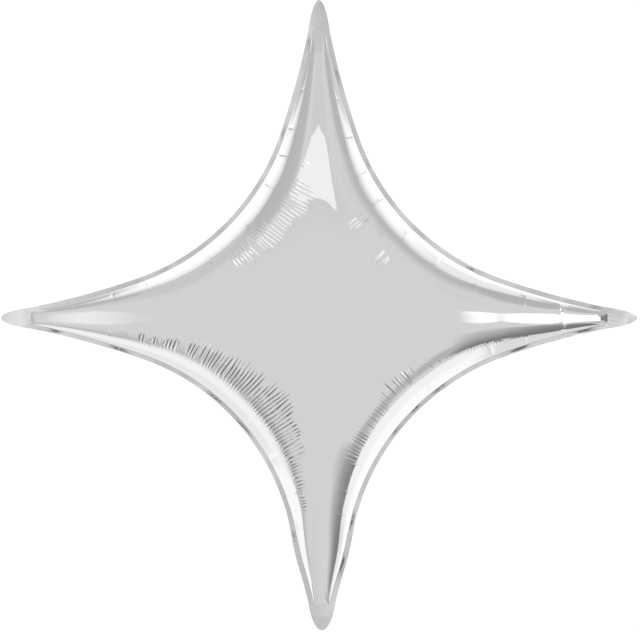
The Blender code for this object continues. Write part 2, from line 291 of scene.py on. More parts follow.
def film_sheet(name, side):
    """A closed shell of film over the whole star. side is -1 for the front and 1 for the back."""
    x, z, along, inward = film_grid()
    stations, rows = x.shape
    reach = np.repeat(inward[:, -1:], rows, axis=1)
    off_spine = smooth_step((reach - inward) / (PUCKER_SPINE_SHARE * reach))
    height = film_height(x, z)
    height[:, 0] = 0.0
    wall = np.minimum(FILM_WALL, WALL_SHARE * height)
    normal_x, normal_y, normal_z = film_normal(x, z)
    inner_x, inner_z = x - normal_x * wall, z - normal_z * wall
    inner_y = height - normal_y * wall
    inner_x[0] = inner_z[0] = (inner_x[0] + inner_z[0]) / 2
    inner_z[:, -1] = 0.0
    inner_stations = range(0, stations, INNER_STATION_STEP)
    inner_rows = range(INNER_ROW_STEP, rows, INNER_ROW_STEP)
    inner_pick = np.ix_(inner_stations, inner_rows)
    outer_ids = np.arange(x.size).reshape(x.shape)
    inner_ids = x.size + np.arange(len(inner_stations) * len(inner_rows))
    inner_ids = inner_ids.reshape(len(inner_stations), len(inner_rows))
    eighth = eighth_faces(outer_ids, inner_ids, inner_stations)

    def both(outer, inner):
        return np.concatenate([outer.ravel(), inner[inner_pick].ravel()])

    places, faces, layers = [], [], {}
    for right, upper, swapped in itertools.product((1, -1), (1, -1), (False, True)):
        start = sum(len(group) for group in places)
        both_x, both_z = both(x, inner_x), both(z, inner_z)
        if swapped:
            both_x, both_z = both_z, both_x
        both_x, both_z = both_x * right, both_z * upper
        both_y = side * (both(height, inner_y) + FILM_SEAT)
        places.append(np.column_stack([placed(both_x, both_z), both_y, both_z]))
        signed = -along if swapped else along
        slack, rib_strength = film_slack((right, upper), signed, inward, reach)
        crease, crease_depth, sag = side_puckers((right, upper), signed, inward)
        values = {"along": signed, "inward": inward, "slack": slack, "rib_strength": rib_strength,
                  "crease": crease, "crease_depth": crease_depth * off_spine, "sag": sag * off_spine}
        for key, value in values.items():
            inner_value = np.zeros_like(value) if key == "rib_strength" else value
            layers.setdefault(key, []).append(both(value, inner_value))
        forward = (right * upper * (-1 if swapped else 1) * side) < 0
        for corners in eighth:
            ids = [int(corner) + start for corner in corners]
            faces.append(ids if forward else ids[::-1])
    mesh = bpy.data.meshes.new(name)
    mesh.from_pydata(np.concatenate(places).tolist(), [], faces)
    for key, parts in layers.items():
        store(mesh, key, np.concatenate(parts))
    welded = bmesh.new()
    welded.from_mesh(mesh)
    bmesh.ops.remove_doubles(welded, verts=welded.verts, dist=WELD_REACH)
    welded.to_mesh(mesh)
    welded.free()
    mesh.shade_smooth()
    return in_scene(name, mesh)


def connect(tree, made, given):
    """Gives a node's inputs, by their names or numbers, plain values or other nodes' results."""
    for key, value in given.items():
        if isinstance(value, bpy.types.NodeSocket):
            tree.links.new(value, made.inputs[key])
        else:
            made.inputs[key].default_value = value
    return made


def node(tree, kind, given):
    """A new node of this kind, with its inputs given."""
    return connect(tree, tree.nodes.new(kind), given)


def calc(tree, operation, *values):
    """A Math node with these numbers or sockets going in, and the socket that its result comes out of."""
    made = tree.nodes.new("ShaderNodeMath")
    made.operation = operation
    return connect(tree, made, dict(enumerate(values))).outputs[0]


def product(tree, first, *others):
    """All of these numbers or sockets multiplied together, from the left."""
    for value in others:
        first = calc(tree, "MULTIPLY", first, value)
    return first


def surface_layer(tree, name):
    """The value that the mesh code stored on each point under this name."""
    made = tree.nodes.new("GeometryNodeInputNamedAttribute")
    made.data_type = "FLOAT"
    return connect(tree, made, {"Name": name}).outputs["Attribute"]


def patchy(tree, x, y, z, scale):
    """Smooth noise from 0 to 1 at the place (x, y, z), whose patches are about 1 / scale across."""
    place = node(tree, "ShaderNodeCombineXYZ", {"X": x, "Y": y, "Z": z})
    noise = node(tree, "ShaderNodeTexNoise", {"Vector": place.outputs[0], "Scale": scale, "Detail": 1.0})
    return noise.outputs[0]


def new_tree(name, inputs):
    """An empty geometry tree with a mesh going in and out and these named number inputs."""
    tree = bpy.data.node_groups.new(name, "GeometryNodeTree")
    tree.interface.new_socket(name="Mesh", in_out="INPUT", socket_type="NodeSocketGeometry")
    tree.interface.new_socket(name="Mesh", in_out="OUTPUT", socket_type="NodeSocketGeometry")
    for input_name in inputs:
        tree.interface.new_socket(name=input_name, in_out="INPUT", socket_type="NodeSocketFloat")
    return tree, tree.nodes.new("NodeGroupInput").outputs, tree.nodes.new("NodeGroupOutput").inputs[0]


def finish_tree(tree, geometry, ending, material):
    """Ends a tree with Realize Instances and Set Material."""
    real = node(tree, "GeometryNodeRealizeInstances", {0: geometry})
    painted = node(tree, "GeometryNodeSetMaterial", {0: real.outputs[0], "Material": material})
    tree.links.new(painted.outputs[0], ending)


def moved(tree, geometry, offset):
    """The geometry with each point moved by the offset."""
    return node(tree, "GeometryNodeSetPosition", {"Geometry": geometry, "Offset": offset}).outputs[0]


def moved_out(tree, geometry, distance):
    """The geometry with each point moved out by the distance, along its normal."""
    normal = tree.nodes.new("GeometryNodeInputNormal")
    scaled = tree.nodes.new("ShaderNodeVectorMath")
    scaled.operation = "SCALE"
    connect(tree, scaled, {0: normal.outputs[0], "Scale": distance})
    return moved(tree, geometry, scaled.outputs[0])


def apply_tree(made, tree, settings):
    """Runs a tree on an object with these input values, and keeps the result as its plain mesh."""
    modifier = made.modifiers.new("shape", "NODES")
    modifier.node_group = tree
    for item in tree.interface.items_tree:
        if item.in_out == "INPUT" and item.name in settings:
            modifier[item.identifier] = settings[item.name]
    evaluated = made.evaluated_get(bpy.context.evaluated_depsgraph_get())
    mesh = bpy.data.meshes.new_from_object(evaluated)
    made.modifiers.clear()
    made.data = mesh
    # Only the shade layer stays: it places the painted fold shadow on the margins.
    finished = [item.name for item in mesh.attributes if item.data_type == "FLOAT" and item.name != "shade"]
    for layer_name in finished:
        mesh.attributes.remove(mesh.attributes[layer_name])
    return made


def soft_step(tree, value, start, end):
    """0 below start, 1 above end, and smooth between them."""
    step = tree.nodes.new("ShaderNodeMapRange")
    step.interpolation_type = "SMOOTHSTEP"
    return connect(tree, step, {"Value": value, "From Min": start, "From Max": end}).outputs[0]


def narrow_peak(tree, distance, width):
    """1 at no distance, falling away over the width."""
    return calc(tree, "EXPONENT", product(tree, calc(tree, "DIVIDE", distance, width), -1.0))


def rise_and_fade(tree, value):
    """0 at 0, 1 at 1, and fading slowly past that."""
    return product(tree, value, calc(tree, "EXPONENT", calc(tree, "SUBTRACT", 1.0, value)))


# The noise that bends the ribs, ends them raggedly and gathers them into groups. A slice is where the noise
# is cut, and a step is the stretch of it over which something grows from 0 to 1
WANDER_SCALE = 60.0
WANDER_SLOWING = 0.25       # how little a rib bends along its own length
RAGGED_SCALE = 0.9
RAGGED_SLICE = 0.37
RAGGED_SHARE = 1.6
RAGGED_STEP = (0.30, 0.55)
BAND_EDGE_STEP = (0.0, 0.2)
GROUP_SCALE = 70.0
GROUP_SLICE = 4.0
GROUP_STEP = (0.43, 0.55)
GROUP_STRENGTH = 0.95
STRAY_RIB_STRENGTH = 0.30
MOST_STRENGTH = 1.4
PUCKER_FADE_POWER = 3.0

FILM_SETTINGS = {
    "Rib spacing": 0.0050,
    "Rib depth": 0.00040,
    "Rib wander": 0.009,
    "Pucker depth": 0.0008,
    "Pucker sag": 0.0004,
    "Pucker width": 0.0018,
    "Pucker length": 0.011,
}


def rib_tree(material):
    """Gathers film into uneven ribs square to the seam, and presses puckers into it."""
    tree, given, ending = new_tree("film_ribs_and_puckers", (*FILM_SETTINGS, "Seed"))
    along, inward, slack = (surface_layer(tree, name) for name in ("along", "inward", "slack"))
    wander = patchy(tree, along, product(tree, inward, WANDER_SLOWING), given["Seed"], WANDER_SCALE)
    line = calc(tree, "MULTIPLY_ADD", calc(tree, "SUBTRACT", wander, 0.5), given["Rib wander"], along)
    turns = calc(tree, "DIVIDE", line, given["Rib spacing"])
    wave = calc(tree, "SINE", product(tree, turns, 2 * math.pi))
    one_rib = calc(tree, "ROUND", turns)
    ragged = calc(tree, "SUBTRACT", patchy(tree, one_rib, RAGGED_SLICE, given["Seed"], RAGGED_SCALE), 0.5)
    ragged = soft_step(tree, calc(tree, "MULTIPLY_ADD", ragged, RAGGED_SHARE, slack), *RAGGED_STEP)
    reached = product(tree, ragged, soft_step(tree, slack, *BAND_EDGE_STEP))
    groups = soft_step(tree, patchy(tree, along, GROUP_SLICE, given["Seed"], GROUP_SCALE), *GROUP_STEP)
    grouped = calc(tree, "MULTIPLY_ADD", groups, GROUP_STRENGTH, STRAY_RIB_STRENGTH)
    strength = product(tree, reached, surface_layer(tree, "rib_strength"), grouped)
    strength = calc(tree, "MINIMUM", strength, MOST_STRENGTH)
    ribs = product(tree, wave, strength, given["Rib depth"])
    groove = narrow_peak(tree, surface_layer(tree, "crease"), given["Pucker width"])
    groove = product(tree, groove, surface_layer(tree, "crease_depth"), given["Pucker depth"])
    sag = product(tree, surface_layer(tree, "sag"), given["Pucker sag"])
    fade = rise_and_fade(tree, calc(tree, "DIVIDE", inward, given["Pucker length"]))
    fade = calc(tree, "POWER", fade, PUCKER_FADE_POWER)
    pressed = product(tree, calc(tree, "ADD", groove, sag), fade)
    shaped = moved_out(tree, given["Mesh"], calc(tree, "SUBTRACT", ribs, pressed))
    finish_tree(tree, shaped, ending, material)
    return tree


def principled(name):
    """A new material and its node tree's Principled shader."""
    material = bpy.data.materials.new(name)
    material.use_nodes = True
    return material, material.node_tree, material.node_tree.nodes["Principled BSDF"]


def noise_on_object(tree, scale, detail):
    """Noise over the piece's own coordinates, as a socket from 0 to 1."""
    place = tree.nodes.new("ShaderNodeTexCoord").outputs["Object"]
    noise = node(tree, "ShaderNodeTexNoise", {"Vector": place, "Scale": scale, "Detail": detail})
    return noise.outputs[0]


def mixed_colour(tree, share, first, second):
    """A colour between two, by a socket from 0 to 1. Each colour is a socket, or red, green, blue and 1."""
    mix = tree.nodes.new("ShaderNodeMix")
    mix.data_type = "RGBA"
    return connect(tree, mix, {"Factor": share, "A": first, "B": second}).outputs["Result"]


GRAIN_HEIGHT = 0.0001


def finish_film(tree, shader, colour, gloss, grain):
    """Gives a film its colour, its uneven gloss and its fine grain.

    gloss is a noise's scale and detail with the least and the most roughness. grain is a noise's scale and
    detail with the strength of its bump.
    """
    gloss_scale, gloss_detail, least, most = gloss
    rough = node(tree, "ShaderNodeMapRange", {
        "Value": noise_on_object(tree, gloss_scale, gloss_detail), "To Min": least, "To Max": most})
    grain_scale, grain_detail, strength = grain
    bump = node(tree, "ShaderNodeBump", {
        "Strength": strength, "Distance": GRAIN_HEIGHT,
        "Height": noise_on_object(tree, grain_scale, grain_detail)})
    connect(tree, shader, {"Base Color": colour, "Roughness": rough.outputs[0], "Normal": bump.outputs[0]})


def silver_film():
    """Mirror-bright film: a little uneven in its gloss, with the faint orange peel of stretched plastic."""
    material, tree, shader = principled("silver_film")
    shader.inputs["Metallic"].default_value = 1.0
    cloudy = noise_on_object(tree, 9.0, 3.0)
    silver = mixed_colour(tree, cloudy, (0.898, 0.898, 0.898, 1), (0.912, 0.912, 0.912, 1))
    finish_film(tree, shader, silver, gloss=(30.0, 2.0, 0.030, 0.065), grain=(180.0, 2.0, 0.15))
    return material


film_material = silver_film()
ribs_and_puckers = rib_tree(film_material)
for panel_name, node_name, side, seed in (
    ("front_film", "front_panel", -1, 3.0),
    ("back_film", "back_panel", 1, 8.0),
):
    panel = film_sheet(panel_name, side)
    apply_tree(panel, ribs_and_puckers, {**FILM_SETTINGS, "Seed": seed})
    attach(panel, "root")
    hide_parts(node_name)

# Sealed margins
# Along each hollow side the two sheets are welded together in a flat margin, trimmed a little outside the gas
# space. The weld leaves it satin. As the side has length to spare, the margin ripples, and folds over here
# and there.

MARGIN_THICKNESS = 0.0003
MARGIN_LAP = 0.0015         # how far it runs in under the film's edge
MARGIN_GAP = 0.00005        # from its end to the tab
MARGIN_STATION = 0.0016
MARGIN_ROWS = 9
MARGIN_CALM_END = 0.030     # it lies flatter over this last stretch before a tab
# A painted shadow: a dark stroke of colour along each fold line of a margin, where the folded-over film would
# shade it.
PAINTED_FOLD_SHADOW_WIDTH = 0.0018
PAINTED_FOLD_SHADOW = (0.15, 0.145, 0.14, 1)
PAINTED_FOLD_SHADOW_COVER = 0.9
SHARP_EDGE = math.radians(60)

# Folds in the margins. Columns: along from, to, in from the cut edge at the first end, at the second, all in
# millimetres; depth
MARGIN_FOLDS = {
    (-1, -1): (
        (168, 220, 2.6, 4.2, 1), (8, 52, 4.5, 2, 1), (-64, -6, 4.5, 1.5, 1), (280, 310, 4, 4.5, 0.8),
        (-240, -205, 4, 3, 0.7),
    ),
    (-1, 1): (
        (330, 372, 4.2, 3, 0.9), (-190, -150, 3, 4, 0.5), (100, 135, 3, 4.2, 0.5),
        (-330, -300, 3.6, 4.4, 0.6),
    ),
    (1, 1): (
        (100, 128, 3.6, 4.5, 0.9), (300, 330, 3, 4, 0.7), (-130, -100, 3.6, 2.6, 0.5),
        (-280, -245, 3.6, 3.6, 0.6),
    ),
    (1, -1): (
        (167, 218, 3, 5, 1), (276, 322, 4, 4.2, 1), (30, 72, 4, 5.2, 1), (-12, 16, 5, 5.2, 1),
        (-60, -30, 5, 4.4, 0.7), (-222, -176, 5, 4.4, 1), (-292, -246, 4.8, 5, 1),
    ),
}


def thin_plate(name, x, z, low_y, high_y, layers):
    """A closed plate over a grid of places in X and Z, with these named values on its points."""
    grid = np.arange(x.size).reshape(x.shape)
    sides = [np.column_stack([x.ravel(), np.ravel(y), z.ravel()]) for y in (low_y, high_y)]
    faces = []
    for ids in (grid, grid + x.size):
        faces += np.column_stack([ids[:-1, :-1].ravel(), ids[1:, :-1].ravel(), ids[1:, 1:].ravel(),
                                  ids[:-1, 1:].ravel()]).tolist()
    for rim in (grid[0], grid[-1], grid[:, 0], grid[:, -1]):
        faces += np.column_stack([rim[:-1], rim[1:], rim[1:] + x.size, rim[:-1] + x.size]).tolist()
    mesh = bpy.data.meshes.new(name)
    mesh.from_pydata(np.concatenate(sides).tolist(), [], faces)
    for key, values in layers.items():
        store(mesh, key, np.tile(values.ravel(), 2))
    closed = bmesh.new()
    closed.from_mesh(mesh)
    bmesh.ops.recalc_face_normals(closed, faces=closed.faces)
    closed.to_mesh(mesh)
    closed.free()
    mesh.shade_smooth()
    mesh.set_sharp_from_angle(angle=SHARP_EDGE)
    return in_scene(name, mesh)


def margin_strip(name, side_key):
    """The margin of one hollow side, from one point's tab to the next, and how each of its points folds."""
    half = np.linspace(0, SIDE_HALF_LENGTH - MARGIN_GAP, round(SIDE_HALF_LENGTH / MARGIN_STATION) + 1)
    insets = np.linspace(SEAL_WIDTH + MARGIN_LAP, 0, MARGIN_ROWS + 1)
    slope, inset = np.meshgrid(side_slope(half), insets, indexing="ij")
    far, near = side_point(slope, inset)
    x = np.concatenate([near[:0:-1], far]) * side_key[0]
    z = np.concatenate([far[:0:-1], near]) * side_key[1]
    inset = np.concatenate([inset[:0:-1], inset])
    along = np.concatenate([-half[:0:-1], half])[:, None] * np.ones(MARGIN_ROWS + 1)
    fold, fold_line = np.zeros_like(along), np.zeros_like(along)
    for *lengths, depth in MARGIN_FOLDS[side_key]:
        start, end, first_line, last_line = (length / MILLIMETRES for length in lengths)
        share = (along - start) / (end - start)
        lens = depth * smooth_step(1 - np.abs(2 * share - 1))
        fold_line = np.where(lens > fold, first_line + (last_line - first_line) * share, fold_line)
        fold = np.maximum(fold, lens)
    crease, crease_depth, _ = side_puckers(side_key, along, SEAL_WIDTH - inset)
    layers = {
        "along": along,
        "inset": inset,
        "outward": np.clip(1 - inset / SEAL_WIDTH, 0, 1),
        "calm": smooth_step((SIDE_HALF_LENGTH - np.abs(along)) / MARGIN_CALM_END),
        "fold": fold,
        "fold_line": fold_line,
        "crease": crease,
        "crease_depth": crease_depth,
        # shade: where the painted fold shadow lies, strongest on each fold line and fading on either side
        "shade": fold * np.exp(-((inset - fold_line) / PAINTED_FOLD_SHADOW_WIDTH) ** 2),
    }
    thickness = np.full_like(x, MARGIN_THICKNESS / 2)
    return thin_plate(name, placed(x, z), z, -thickness, thickness, layers)


MARGIN_SETTINGS = {
    "Ripple height": 0.0020,
    "Ripple length": 0.035,
    "Fold height": 0.0024,
    "Fold width": 0.0036,
    "Nick height": 0.0008,
    "Nick width": 0.0020,
}


def moved_back(tree, geometry, distance):
    """The geometry with each point moved by the distance along Y."""
    return moved(tree, geometry, node(tree, "ShaderNodeCombineXYZ", {"Y": distance}).outputs[0])


def margin_tree(material):
    """Ripples the margin towards its cut edge, folds it along its fold lines and nicks it at puckers."""
    tree, given, ending = new_tree("margin_ripples_and_folds", (*MARGIN_SETTINGS, "Seed"))
    outward, inset = surface_layer(tree, "outward"), surface_layer(tree, "inset")
    place = calc(tree, "DIVIDE", surface_layer(tree, "along"), given["Ripple length"])
    rolling = calc(tree, "SUBTRACT", patchy(tree, place, 0.5, given["Seed"], 1.0), 0.5)
    rolling = product(tree, rolling, 2.0, calc(tree, "POWER", outward, 2.0), given["Ripple height"])
    past_line = calc(tree, "SUBTRACT", surface_layer(tree, "fold_line"), inset)
    past_line = calc(tree, "DIVIDE", past_line, given["Fold width"])
    folded = product(tree, soft_step(tree, past_line, -0.5, 0.5), surface_layer(tree, "fold"),
                     given["Fold height"])
    nick = narrow_peak(tree, surface_layer(tree, "crease"), given["Nick width"])
    nick = product(tree, nick, surface_layer(tree, "crease_depth"), outward, given["Nick height"])
    total = calc(tree, "ADD", calc(tree, "ADD", rolling, folded), nick)
    total = product(tree, total, surface_layer(tree, "calm"))
    finish_tree(tree, moved_back(tree, given["Mesh"], total), ending, material)
    return tree


def painted_value(tree, name):
    """The value that a material reads from the mesh under this name."""
    made = tree.nodes.new("ShaderNodeAttribute")
    made.attribute_name = name
    return made.outputs["Fac"]


def satin_weld():
    """Silver film dulled by the heat of the weld, with the sealing bar's fine grain, and a painted shadow along
    its folds.
    """
    material, tree, shader = principled("satin_weld")
    shader.inputs["Metallic"].default_value = 1.0
    cloudy = soft_step(tree, noise_on_object(tree, 16.0, 4.0), 0.36, 0.62)
    silver = mixed_colour(tree, cloudy, (0.720, 0.720, 0.724, 1), (0.890, 0.890, 0.890, 1))
    # Painted shadow along the folds: the shade layer, broken up by noise, mixes the colour towards near-black.
    broken = soft_step(tree, noise_on_object(tree, 260.0, 2.0), 0.30, 0.52)
    painted_shadow = product(tree, painted_value(tree, "shade"), broken, PAINTED_FOLD_SHADOW_COVER)
    silver = mixed_colour(tree, painted_shadow, silver, PAINTED_FOLD_SHADOW)
    finish_film(tree, shader, silver, gloss=(45.0, 3.0, 0.20, 0.32), grain=(900.0, 3.0, 0.25))
    return material


weld_material = satin_weld()
ripples_and_folds = margin_tree(weld_material)
for corner, side_key, seed in (
    ("upper_right", (1, 1), 2.0),
    ("upper_left", (-1, 1), 5.0),
    ("lower_left", (-1, -1), 11.0),
    ("lower_right", (1, -1), 17.0),
):
    node_name = "seam_" + corner
    margin = margin_strip("margin_" + corner, side_key)
    apply_tree(margin, ripples_and_folds, {**MARGIN_SETTINGS, "Seed": seed})
    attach(margin, "root")
    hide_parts(node_name)

# Tabs and neck
# At the top, left and right points both sheets are welded solid into a flat leaf past the gas space. At the
# neck they stay apart as two leaves, with the flat sleeve of the self-closing valve between them. All of them
# are slightly curled.

TAB_REACH = 0.490           # centre to the end of the top, left and right tabs
NECK_REACH = 0.481          # centre to the end of the neck
TAB_NOSE = 0.0035           # radius of a tab's very end
NECK_NOSE = 0.0052
TAB_HALF_COLUMNS = 26
TAB_ROWS = 24
LEAF_THICKNESS = 0.0002
LEAF_OFFSET = 0.00025       # from the middle plane to the middle of a neck leaf
NECK_OPENING = 0.0012       # how far each leaf bends away from the other at the cut edge
NECK_OPENING_SPAN = (0.002, 0.036)
VALVE_HALF_WIDTH = 0.0065
VALVE_HALF_THICKNESS = 0.0001
VALVE_RECESS = 0.002        # from the neck's end up to the valve's mouth
VALVE_CELLS = (10, 30)


def tab_outline(reach, nose_radius):
    """The cut outline of a tab on the +X arm, from its margin to the arm's axis: part of an ellipse."""
    root_x, root_z = side_point(END_SLOPE, 0.0)
    length = reach - root_x
    shape = (2 * nose_radius * length - root_z ** 2) / length ** 2
    half_length, half_width = nose_radius / shape, nose_radius / math.sqrt(shape)
    turn = np.linspace(math.acos(1 - length / half_length), 0, TAB_HALF_COLUMNS + 1)
    return reach - half_length * (1 - np.cos(turn)), half_width * np.sin(turn)


def tab_leaf(name, reach, nose_radius, quarter_turns, middle_y, thickness):
    """A flat leaf past the end of the gas space, quarter_turns from +X towards +Z."""
    turn = np.linspace(math.pi / 2, 0, TAB_HALF_COLUMNS + 1)
    start_x = END_START + (FILM_END_BULGE - MARGIN_LAP) * np.cos(turn)
    start_x -= MARGIN_LAP * math.sin(END_SLOPE) * np.sin(turn)
    start_z = (END_HALF_WIDTH - MARGIN_LAP * math.cos(END_SLOPE)) * np.sin(turn)
    end_x, end_z = tab_outline(reach, nose_radius)
    share = np.linspace(0, 1, TAB_ROWS + 1)[:, None]
    x = start_x + (end_x - start_x) * share
    z = start_z + (end_z - start_z) * share
    away = np.hypot(x - start_x, z - start_z)
    x, z = np.concatenate([x, x[:, -2::-1]], axis=1), np.concatenate([z, -z[:, -2::-1]], axis=1)
    away = np.concatenate([away, away[:, -2::-1]], axis=1)
    across = np.linspace(-1, 1, x.shape[1]) * np.ones_like(x)
    for _ in range(quarter_turns):
        x, z = -z, x
    half = np.full_like(x, thickness / 2)
    layers = {"away": np.maximum(away - MARGIN_LAP, 0), "across": across, "calm": (1 - across ** 2) ** 0.5}
    return thin_plate(name, placed(x, z), z, middle_y - half, middle_y + half, layers)


# The noise that makes a leaf's creases and curl uneven, and how fast the curl turns and grows along it
CREASE_SCALE = 2.5
CREASE_SLICE = 2.0
CREASE_UNEVENNESS = 5.0
CREASE_END_SCALE = 3.0
CREASE_END_SLICE = 7.0
SHORTEST_CREASE = 0.4
CURL_SCALE = 0.9
CURL_TURNING = 40.0
CURL_GROWTH = 25.0

LEAF_SETTINGS = {
    "Crease height": 0.0004,
    "Crease count": 14.0,
    "Crease length": 0.006,
    "Curl": 0.0030,
}


def leaf_tree(material):
    """Gathers a leaf into creases that fan out from the gas space's end, and curls its cut edge."""
    tree, given, ending = new_tree("leaf_creases_and_curl", (*LEAF_SETTINGS, "Opening", "Seed"))
    away, across, calm = (surface_layer(tree, name) for name in ("away", "across", "calm"))
    uneven = product(tree, patchy(tree, across, CREASE_SLICE, given["Seed"], CREASE_SCALE), CREASE_UNEVENNESS)
    wave = calc(tree, "SINE", calc(tree, "MULTIPLY_ADD", across, given["Crease count"], uneven))
    length = patchy(tree, across, CREASE_END_SLICE, given["Seed"], CREASE_END_SCALE)
    length = product(tree, calc(tree, "ADD", length, SHORTEST_CREASE), given["Crease length"])
    fade = rise_and_fade(tree, calc(tree, "DIVIDE", away, length))
    creases = product(tree, wave, fade, given["Crease height"])
    rolling = patchy(tree, across, product(tree, away, CURL_TURNING), given["Seed"], CURL_SCALE)
    rolling = product(tree, calc(tree, "SUBTRACT", rolling, 0.5), given["Curl"])
    curl = product(tree, rolling, product(tree, away, CURL_GROWTH))
    opened = product(tree, soft_step(tree, away, *NECK_OPENING_SPAN), given["Opening"])
    bent = calc(tree, "ADD", product(tree, calc(tree, "ADD", creases, curl), calm), opened)
    finish_tree(tree, moved_back(tree, given["Mesh"], bent), ending, material)
    return tree


creases_and_curl = leaf_tree(weld_material)
for leaf_name, node_name, quarter_turns, side, seed in (
    ("right_tab", "tab_right", 0, 0, 1.0),
    ("top_tab", "tab_top", 1, 0, 2.6),
    ("left_tab", "tab_left", 2, 0, 4.3),
    ("front_neck_leaf", "neck_leaf_front", 3, -1, 6.1),
    ("back_neck_leaf", "neck_leaf_back", 3, 1, 6.1),
):
    if side:
        leaf = tab_leaf(leaf_name, NECK_REACH, NECK_NOSE, quarter_turns, side * LEAF_OFFSET, LEAF_THICKNESS)
    else:
        leaf = tab_leaf(leaf_name, TAB_REACH, TAB_NOSE, quarter_turns, 0.0, MARGIN_THICKNESS)
    apply_tree(leaf, creases_and_curl, {**LEAF_SETTINGS, "Opening": side * NECK_OPENING, "Seed": seed})
    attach(leaf, "root")
    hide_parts(node_name)


def milky_film():
    """The valve's plain plastic film: milky, soft in its gloss, with a faint grain."""
    material, tree, shader = principled("milky_film")
    cloudy = noise_on_object(tree, 60.0, 3.0)
    milky = mixed_colour(tree, cloudy, (0.80, 0.81, 0.80, 1), (0.88, 0.885, 0.875, 1))
    finish_film(tree, shader, milky, gloss=(120.0, 2.0, 0.28, 0.42), grain=(700.0, 2.0, 0.2))
    return material


sleeve_x, sleeve_z = np.meshgrid(
    NECK_LEAN + np.linspace(-VALVE_HALF_WIDTH, VALVE_HALF_WIDTH, VALVE_CELLS[0] + 1),
    np.linspace(-(NECK_REACH - VALVE_RECESS), -(END_START - MARGIN_LAP), VALVE_CELLS[1] + 1), indexing="ij")
sleeve_half = np.full_like(sleeve_x, VALVE_HALF_THICKNESS)
sleeve = thin_plate("valve_film_sleeve", sleeve_x, sleeve_z, -sleeve_half, sleeve_half, {})
sleeve.data.materials.append(milky_film())
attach(sleeve, "root")
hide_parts("valve_sleeve")

# Stage
# A plain pale floor well below the floating balloon, soft light, and a white surround that the mirror film
# picks up. It is grey where the photographer's side of the room is, and white all round the balloon.

GREY_ROOM = 0.708
WHITE_WALL = 1.09
REAR_ROOM = 0.76
DARK_CARD = GREY_ROOM / 2   # a darker sector than this is a black card, slightly warm
DARK_CARD_WARMTH = 0.10
CAMERA_LENS = 150.0
CAMERA_SENSOR = 36.0
FRAME_PIXELS = (640, 632)
STAR_CENTRE_PIXEL = (319.0, 318.0)
STAR_WIDTH_PIXELS = 636.0
STAR_WIDTH = 0.980
PIXEL = STAR_WIDTH / STAR_WIDTH_PIXELS  # the photo's pixel in metres, at the star
CAMERA_PLACE = ((FRAME_PIXELS[0] / 2 - STAR_CENTRE_PIXEL[0]) * PIXEL,
                -FRAME_PIXELS[0] * PIXEL * CAMERA_LENS / CAMERA_SENSOR,
                (STAR_CENTRE_PIXEL[1] - FRAME_PIXELS[1] / 2) * PIXEL)
FLOOR_HEIGHT = -1.1
FLOOR_RADIUS = 3.0
FLOOR_THICKNESS = 0.02
FLOOR_CORNERS = 96

# Brightness of the surround by the angle in degrees from the direction towards the camera
SURROUND_RINGS = (
    (0, GREY_ROOM), (56, GREY_ROOM), (62, 0.70), (67, 0.68), (72, 0.62), (78, 0.55), (85, 0.52), (90, 0.58),
    (96, 0.78), (102, 0.93), (108, 1.02), (114, WHITE_WALL), (172, WHITE_WALL), (177, REAR_ROOM),
    (180, REAR_ROOM),
)

# Lighter and darker sectors of those rings.
# Columns: angle from the camera direction from, to; clock angle from, to (0 is the camera's right, 90 is up);
# softness of its edges, all in degrees; brightness; how far it covers what is behind it
SURROUND_SECTORS = (
    (84, 170, -100, -58, 6, 0.76, 0.9),
    (86, 170, -172, -100, 5, 0.86, 0.9),
    (94, 118, -168, -104, 5, 1.0, 0.85),
    (84, 150, -160, -146, 3, 1.06, 0.9),
    (84, 170, -58, -32, 5, 1.06, 0.8),
    (84, 112, -53, -24, 4, 0.98, 0.9),
    (50, 84, -110, -62, 5, 0.15, 0.95),
    (30, 50, 58, 122, 9, 0.66, 0.9),
    (57, 92, 14, 37, 4, 0.51, 0.9),
    (60, 94, 51, 76, 3, 0.49, 0.9),
    (61, 73, -60, -30, 4, 0.47, 0.9),
    (76, 84, -60, -30, 2.5, 0.72, 0.9),
    (66, 92, 104, 121, 1.5, 0.52, 0.9),
    (70, 98, 122, 135.4, 1.2, 0.64, 0.9),
    (96, 124, 48, 66, 4, 0.88, 0.8),
    (90, 112, -6, 25, 1.2, 0.54, 0.95),
    (112, 175, -6, 25, 1.2, 0.68, 0.9),
    (90, 126, 155.3, 186, 1.2, 0.5, 0.95),
    (126, 175, 155.3, 186, 1.2, 0.6, 0.9),
    (90, 126, 104, 115.3, 1.2, 0.525, 0.95),
    (126, 175, 104, 115.3, 1.2, 0.66, 0.9),
    (90, 112, 64.8, 76, 1.2, 0.54, 0.95),
    (58, 100, -12, 12, 3, 0.2, 0.9),
)

# A window high in front of the star: its edges, given as the tangents of angles seen from the star
WINDOW_LOW = 1.02
WINDOW_HIGH = 2.4
WINDOW_LEFT = -0.620
WINDOW_RIGHT = 0.300
WINDOW_BRIGHTNESS = 1.25
WINDOW_SOFT = 0.030


def between(tree, value, low, high, soft):
    """1 where the value is between low and high, and 0 elsewhere, with soft edges."""
    return calc(tree, "MULTIPLY", soft_step(tree, value, low - soft, low + soft),
                soft_step(tree, value, high + soft, high - soft))


def grey(shade, warmth=0.0):
    """A grey of this brightness, as a share of the white wall's, with less blue where warmth is given."""
    share = shade / WHITE_WALL
    return share, share * (1 - warmth / 2), share * (1 - warmth), 1


